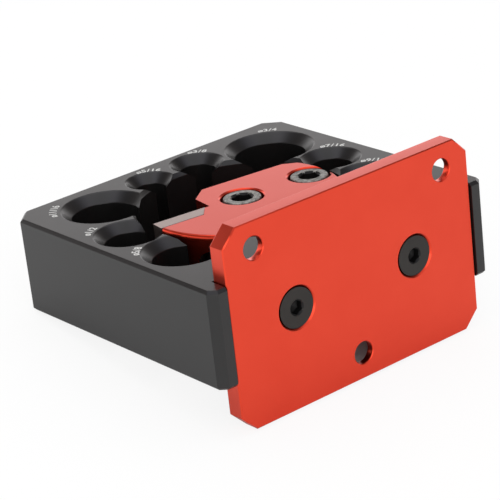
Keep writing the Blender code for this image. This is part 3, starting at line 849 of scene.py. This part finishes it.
# the shapes that all the screws share
screwShape = {
    "tipNarrow": 0.2 * mm,
    "tipRise": 0.15 * mm,
    "threadStart": 0.75 * mm,
    "threadNeck": 0.4 * mm,
    "ringsInPitch": 6,
    # outward, up and the knurl's share: under a cap head in millimetres, round its top in chamfers
    "capFoot": ((-0.35, 0, 0), (-0.1, 0.1, 0), (0, 0.4, 0), (0, 0.9, 1)),
    "capTop": ((0, -1, 1), (-0.3, -0.32, 0.6), (-0.8, -0.06, 0), (-1.3, 0, 0)),
    # inward and down round a flat head, in rims
    "flatTop": ((0, 1), (0, 0.4), (0.3, 0.1), (0.9, 0)),
    # the drill under a broached socket: its tip, its depth and its radius in corner radii
    "drillTip": 0.1 * mm,
    "drillDepth": 0.4,
    "drillRadius": 0.86,
    "hexSides": 6,
    "coneSteps": 48,
    "over": 0.5 * mm,
}


def ridgeTree():
    # a knurl is many straight ridges round the axis, a thread is one ridge that climbs a pitch each turn;
    # both are waves pressed into the surface where the attributes "knurl" and "thread" say so
    tree, given, result = startTree("knurl and thread", {
        "Knurl Ridges": "Int", "Knurl Depth": "Float", "Pitch": "Float", "Thread Depth": "Float",
        "Finish": "Material"})
    place = addNode(tree, "GeometryNodeInputPosition")
    axes = addNode(tree, "ShaderNodeSeparateXYZ", None, {0: place})
    turn = addNode(tree, "ShaderNodeMath", {"operation": "ARCTAN2"},
                   {0: axes.outputs["Y"], 1: axes.outputs["X"]})
    knurlTurn = addNode(tree, "ShaderNodeMath", {"operation": "MULTIPLY"},
                        {0: turn, 1: given["Knurl Ridges"]})
    climb = addNode(tree, "ShaderNodeMath", {"operation": "DIVIDE"},
                    {0: axes.outputs["Z"], 1: given["Pitch"]})
    climbTurn = addNode(tree, "ShaderNodeMath", {"operation": "MULTIPLY", 1: 2 * pi}, {0: climb})
    threadTurn = addNode(tree, "ShaderNodeMath", {"operation": "SUBTRACT"}, {0: climbTurn, 1: turn})

    sinks = []
    for label, phase, depth in (("knurl", knurlTurn, "Knurl Depth"), ("thread", threadTurn, "Thread Depth")):
        wave = addNode(tree, "ShaderNodeMath", {"operation": "COSINE"}, {0: phase})
        valley = addNode(tree, "ShaderNodeMath", {"operation": "MULTIPLY_ADD", 1: -0.5, 2: 0.5}, {0: wave})
        share = addNode(tree, "GeometryNodeInputNamedAttribute", {"data_type": "FLOAT", "Name": label})
        where = addNode(tree, "ShaderNodeMath", {"operation": "MULTIPLY"},
                        {0: valley, 1: share.outputs["Attribute"]})
        sinks.append(addNode(tree, "ShaderNodeMath", {"operation": "MULTIPLY"}, {0: where, 1: given[depth]}))
    sink = addNode(tree, "ShaderNodeMath", {"operation": "ADD"}, {0: sinks[0], 1: sinks[1]})

    spoke = addNode(tree, "ShaderNodeCombineXYZ", None, {"X": axes.outputs["X"], "Y": axes.outputs["Y"]})
    inward = addNode(tree, "ShaderNodeVectorMath", {"operation": "NORMALIZE"}, {0: spoke})
    back = addNode(tree, "ShaderNodeMath", {"operation": "MULTIPLY", 1: -1.0}, {0: sink})
    push = addNode(tree, "ShaderNodeVectorMath", {"operation": "SCALE"}, {0: inward, "Scale": back})
    pressed = addNode(tree, "GeometryNodeSetPosition", None, {"Geometry": given["Geometry"], "Offset": push})
    real = addNode(tree, "GeometryNodeRealizeInstances", None, {"Geometry": pressed})
    painted = addNode(tree, "GeometryNodeSetMaterial", None, {"Geometry": real, "Material": given["Finish"]})
    tree.links.new(painted.outputs[0], result["Geometry"])
    return tree


def shankRings(size, length):
    # radius, height, knurl and thread shares from the tip up; the thread fades out over its last turn
    shape, inPitch = screwShape, screwShape["ringsInPitch"]
    radius = size["diameter"] / 2
    core = radius - size["threadDepth"]
    rings = [(core - shape["tipNarrow"], 0, 0, 0), (core, shape["tipRise"], 0, 0)]
    count = round(inPitch * size["threadLength"] / size["pitch"])
    for step in range(count + 1):
        fade = min(1.0, (count - step) / inPitch)
        rings.append((radius, shape["threadStart"] + size["threadLength"] * step / count, 0, fade))
    rings.append((radius, length, 0, 0))
    return rings


def capHeadRings(size, length):
    radius, chamfer, top = size["head"] / 2, size["headChamfer"], length + size["headHeight"]
    foot = [(radius + out * mm, length + up * mm, knurl, 0) for out, up, knurl in screwShape["capFoot"]]
    rim = [(radius + out * chamfer, top + up * chamfer, knurl, 0)
           for out, up, knurl in screwShape["capTop"]]
    return foot + rim


def flatHeadRings(size, length):
    radius, rim = size["head"] / 2, size["headRim"]
    slope = radius - size["diameter"] / 2
    return [(size["diameter"] / 2, length - rim - slope, 0, 0)] + [
        (radius - inward * rim, length - down * rim, 0, 0) for inward, down in screwShape["flatTop"]]


def hexCutter(size, top):
    # a broached socket under z = top: the drill's cone below, a chamfer turned round the mouth
    corner, bottom, mouth = size["hex"] / sqrt(3), top - size["hexDepth"], top - size["hexMouth"]
    shape, over = screwShape, screwShape["over"]
    broach = turned([(shape["drillTip"], bottom - shape["drillDepth"] * corner),
                     (shape["drillRadius"] * corner, bottom), (corner, bottom), (corner, top + over)],
                    shape["hexSides"])
    cone = turned([(corner - over, mouth - over), (corner + over, mouth + over)], shape["coneSteps"])
    return [broach, cone]


def makeScrew(name, size, rings, top, place, finishAndSocketShade, body, node, hexTurn=0.0):
    # turned about Z with its tip at z = 0, then put in its place; inside the socket shade is painted darker
    steps = size["steps"]
    bm = turned([ring[:2] for ring in rings], steps)
    knurl, thread = bm.verts.layers.float.new("knurl"), bm.verts.layers.float.new("thread")
    bm.verts.ensure_lookup_table()
    for i, vert in enumerate(bm.verts):
        vert[knurl], vert[thread] = rings[i // steps][2:]
    screw = runTree(addObject(name, bm), ridges, {
        "Knurl Ridges": size.get("knurlRidges", 1), "Knurl Depth": size.get("knurlDepth", 0.0),
        "Pitch": size["pitch"], "Thread Depth": size["threadDepth"], "Finish": finishAndSocketShade[0]})
    cutOut(screw, [moved(tool, Matrix.Rotation(hexTurn, 4, "Z")) for tool in hexCutter(size, top)])
    screw.data.transform(place)
    finish(screw, finishAndSocketShade[0], body, [node])

    reach, floor = size["hex"] / sqrt(3), top - size["hexDepth"] - size["hex"]
    mouth = top - size["hexMouth"]
    back = place.inverted()
    # the faces inside the socket take the painted shade, almost black
    paintFaces(screw, finishAndSocketShade[1], lambda middle: (back @ middle).to_2d().length < reach
               and floor < (back @ middle).z < mouth)


def makeCapScrew(name, size, body, node, hexTurn):
    low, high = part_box(node)
    length = high.z - low.z - size["headHeight"]
    place = at((low.x + high.x) / 2, (low.y + high.y) / 2, low.z)
    rings = shankRings(size, length) + capHeadRings(size, length)
    makeScrew(name, size, rings, high.z - low.z, place, (phosphated, socketPaintedShade), body, node, hexTurn)


def makePlateScrew(name, size, node, hexTurn):
    low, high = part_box(node)
    length = high.y - low.y
    place = at((low.x + high.x) / 2, high.y, (low.z + high.z) / 2) @ Matrix.Rotation(radians(90), 4, "X")
    head = flatHeadRings(size, length)
    rings = shankRings(size, head[0][1] - screwShape["threadNeck"]) + head
    makeScrew(name, size, rings, length, place, (blackOxide, socketPaintedShade), "block", node, hexTurn)


def makeClampScrew(size, blade, carrier):
    # through the carrier's wall into the blade, its tip just short of the blade's face
    seat = clampPlace(carrier, blade)
    length = blade["face"] - size["tipShort"] - seat.translation.y
    place = carrierFrame @ seat @ at(0, 0, -length)
    rings = shankRings(size, length) + capHeadRings(size, length)
    makeScrew("bladeClampScrew", size, rings, length + size["headHeight"], place, (blackOxide, socketPaintedShade),
              "carrier", "blade_clamp_screw")


slotNut = {
    "width": 8.0 * mm,
    "length": 10.0 * mm,
    "hole": 6.6 * mm,
    "mouth": 0.4 * mm,
    "edgeRound": 0.15 * mm,
    "endSteps": 8,
    "holeSteps": 48,
    "over": 1.0 * mm,
}


def makeSlotNut(size, slotRadius):
    low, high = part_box("slot_nut")
    thick = high.z - low.z
    halfTurn = (size["length"] - size["width"]) / 2 / slotRadius
    outline = slotOutline(slotRadius, size["width"], -halfTurn, halfTurn, size["endSteps"])
    hole, mouth, over = size["hole"] / 2, size["mouth"], size["over"]
    drill = turned([(hole + mouth + over, -over), (hole, mouth), (hole, thick - mouth),
                    (hole + mouth + over, thick + over)], size["holeSteps"])
    nut = cutOut(addObject("slotNut", prism(outline, 0, thick)), [moved(drill, at(slotRadius, 0))])
    breakEdges(nut, size["edgeRound"])
    nut.data.transform(carrierFrame @ at(0, 0, low.z - carrierLow.z))
    finish(nut, blackOxide, "carrier", ["slot_nut"])


ridges = ridgeTree()
# the last number of each is how far its hex is turned, in degrees
makeCapScrew("pivotScrew", capScrew, "block", "pivot_screw", radians(12))
makeCapScrew("indexScrew", capScrew, "carrier", "index_screw", radians(20))
makePlateScrew("plateScrewLeft", plateScrew, "plate_screw_left", radians(30))
makePlateScrew("plateScrewRight", plateScrew, "plate_screw_right", radians(30))
makeClampScrew(clampScrew, cutterBlade, bladeCarrier)
makeSlotNut(slotNut, bladeCarrier["indexRadius"])
print("the screws and the nut are in")


# Studio: camera at the photograph's place, a white floor the jig rests on, a white room, two soft lamps

studio = {
    "cameraPlace": (-307.43 * mm, -403.06 * mm, 230.12 * mm),
    "cameraRight": (0.76394548, -0.63645314, -0.10637061),
    "cameraUp": (0.31812037, 0.22804971, 0.92021343),
    "lens": 154.254,
    "sensor": 36,
    "clipStart": 0.01,
    "clipEnd": 20,
    "floorSize": 1.2,
    "floorGlow": 0.87,
    "shadeMiddle": (8.0 * mm, 9.0 * mm, 0.0),
    "deepShade": 7.0 * mm,
    "shadeEnd": 13.0 * mm,
    "roomLight": 0.85,
    # what gloss sees at each height above the horizon: bright walls, a dim band, the soft ceiling
    "roomBands": (
        (0.0, (1.70, 1.66, 1.66)), (9.0, (1.70, 1.66, 1.66)), (16.0, (0.70, 0.67, 0.67)),
        (23.0, (0.24, 0.20, 0.19)), (50.0, (0.22, 0.21, 0.22)), (62.0, (1.15, 1.12, 1.30)),
        (90.0, (1.30, 1.27, 1.50)),
    ),
    # name, place and side in metres, power in watts; both look at a point just above the floor
    "lamps": (
        ("top softbox", (0.1, 0.2, 1.0), 1.0, 2.5),
        ("front softbox", (-0.5, -0.8, 0.4), 0.8, 3.3),
    ),
    "lampAim": (0, 0, 0.03),
}


def addCamera(setup):
    camera = bpy.data.objects.new("camera", bpy.data.cameras.new("camera"))
    bpy.context.scene.collection.objects.link(camera)
    right, up = Vector(setup["cameraRight"]), Vector(setup["cameraUp"])
    turn = Matrix((right, up, right.cross(up))).transposed().to_4x4()
    camera.matrix_world = Matrix.Translation(setup["cameraPlace"]) @ turn
    camera.data.lens = setup["lens"]
    camera.data.sensor_width = setup["sensor"]
    camera.data.clip_start = setup["clipStart"]
    camera.data.clip_end = setup["clipEnd"]
    bpy.context.scene.camera = camera


# the jig leans back: it rests on the plate's lower rear edge and the block's far bottom edge
nearEdge = Vector((0, plateHigh.y, plateLow.z))
farEdge = Vector((0, blockHigh.y, blockLow.z))
lean = atan2(farEdge.z - nearEdge.z, farEdge.y - nearEdge.y)


def addFloor(setup):
    bm = bmesh.new()
    bmesh.ops.create_grid(bm, x_segments=1, y_segments=1, size=setup["floorSize"])
    floor = addObject("floor", bm)
    floor.matrix_world = Matrix.Translation(nearEdge) @ Matrix.Rotation(lean, 4, "X")
    material, tree, inputs = startMaterial(
        "white paper sweep",
        {"Base Color": linear("#f4f4f4"), "Roughness": 0.9, "Specular IOR Level": 0.0})

    # to the camera the paper is white with a trace of shadow, except in the deep shade behind the plate
    place = addNode(tree, "ShaderNodeTexCoord").outputs["Object"]
    reach = addNode(tree, "ShaderNodeVectorMath", {"operation": "DISTANCE", 1: setup["shadeMiddle"]},
                    {0: place})
    white = addNode(tree, "ShaderNodeMapRange",
                    {"From Min": setup["deepShade"], "From Max": setup["shadeEnd"],
                     "To Max": setup["floorGlow"]},
                    {"Value": reach.outputs["Value"]})
    rays = addNode(tree, "ShaderNodeLightPath")
    share = addNode(tree, "ShaderNodeMath", {"operation": "MULTIPLY"},
                    {0: rays.outputs["Is Camera Ray"], 1: white.outputs["Result"]})
    glow = addNode(tree, "ShaderNodeEmission", {"Color": (1, 1, 1, 1), "Strength": 1.0})
    mixed = addNode(tree, "ShaderNodeMixShader", None,
                    {"Fac": share, 1: tree.nodes["Principled BSDF"].outputs[0],
                     2: glow})
    tree.links.new(mixed.outputs[0], tree.nodes["Material Output"].inputs["Surface"])
    floor.data.materials.append(material)


def addRoom(setup):
    world = bpy.data.worlds.new("white room")
    bpy.context.scene.world = world
    world.use_nodes = True
    tree = world.node_tree
    upright = (0, -sin(lean), cos(lean))
    direction = addNode(tree, "ShaderNodeTexCoord").outputs["Generated"]
    height = addNode(tree, "ShaderNodeVectorMath", {"operation": "DOT_PRODUCT", 1: upright}, {0: direction})
    bands = addNode(tree, "ShaderNodeValToRGB", None, {"Fac": height.outputs["Value"]})
    ramp = bands.color_ramp
    for i, (rise, level) in enumerate(setup["roomBands"]):
        stop = ramp.elements[0] if i == 0 else ramp.elements.new(sin(radians(rise)))
        stop.position = sin(radians(rise))
        stop.color = level + (1,)
    ramp.elements.remove(ramp.elements[-1])
    rays = addNode(tree, "ShaderNodeLightPath")
    gloss = addNode(tree, "ShaderNodeMix", {"data_type": "RGBA", 6: (setup["roomLight"],) * 3 + (1,)},
                    {0: rays.outputs["Is Glossy Ray"], 7: bands.outputs["Color"]})
    seen = addNode(tree, "ShaderNodeMix", {"data_type": "RGBA", 7: (1, 1, 1, 1)},
                   {0: rays.outputs["Is Camera Ray"], 6: gloss.outputs[2]})
    tree.links.new(seen.outputs[2], tree.nodes["Background"].inputs["Color"])


def addLamp(name, place, side, power, aim):
    data = bpy.data.lights.new(name, "AREA")
    data.shape = "RECTANGLE"
    data.size = data.size_y = side
    data.energy = power
    lamp = bpy.data.objects.new(name, data)
    bpy.context.scene.collection.objects.link(lamp)
    lamp.location = place
    lamp.rotation_mode = "QUATERNION"
    lamp.rotation_quaternion = (Vector(aim) - Vector(place)).to_track_quat("-Z", "Y")


addCamera(studio)
addFloor(studio)
addRoom(studio)
for lamp in studio["lamps"]:
    addLamp(*lamp, studio["lampAim"])
bpy.context.scene.view_settings.view_transform = "Standard"
print("the studio is set")
